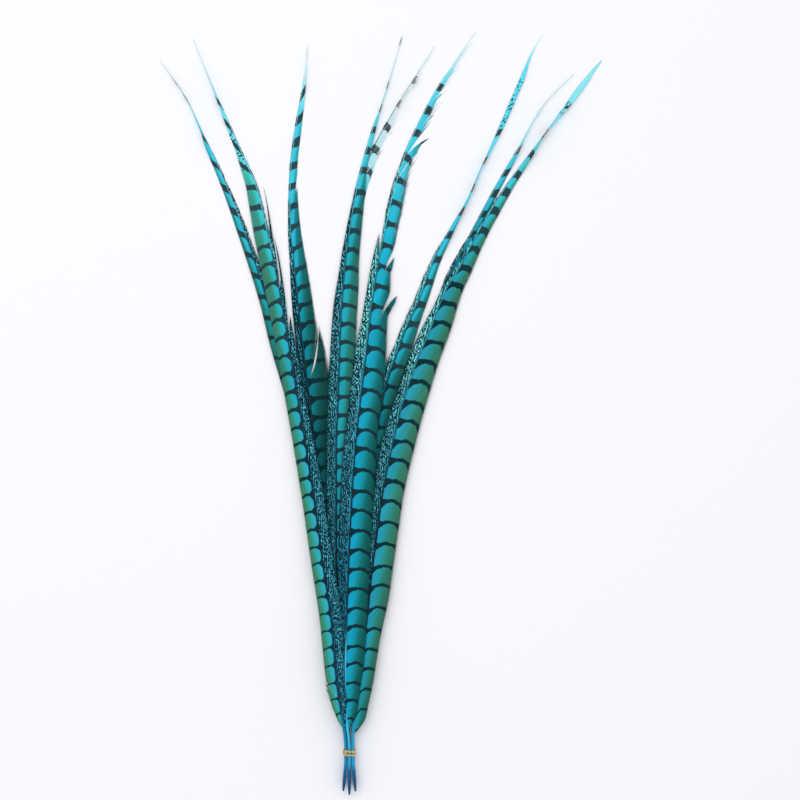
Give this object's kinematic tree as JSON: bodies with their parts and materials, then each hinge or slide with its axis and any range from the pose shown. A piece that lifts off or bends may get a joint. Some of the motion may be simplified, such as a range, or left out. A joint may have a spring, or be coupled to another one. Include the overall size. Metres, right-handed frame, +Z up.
{
  "type": "pheasant tail feather bunch",
  "caption": "Fanned bunch of long barred pheasant tail feathers, dyed turquoise, held by a rubber band round the quills and laid down flat.",
  "frame": {"origin": "on the table, under the middle of the rubber band, on the flat of the band's underside", "axes": "+Y from the band towards the tips of the feathers, +X to the right seen from above with the tips away from the viewer, +Z up from the table"},
  "size_m": [0.4792, 0.821, 0.0174],
  "materials": {
    "dyed_feather": "dyed barred pheasant feather: satin turquoise and green vane with black bars, blue quill",
    "tan_rubber": "matte tan natural rubber"
  },
  "bodies": {
    "root": {"feather_far_left": "dyed_feather", "feather_front_left": "dyed_feather", "feather_inner_left": "dyed_feather", "feather_centre_left": "dyed_feather", "feather_behind_centre": "dyed_feather", "feather_front_centre": "dyed_feather", "feather_inner_right": "dyed_feather", "feather_behind_right": "dyed_feather", "feather_front_right": "dyed_feather", "rubber_band": "tan_rubber"}
  },
  "joints": []
}
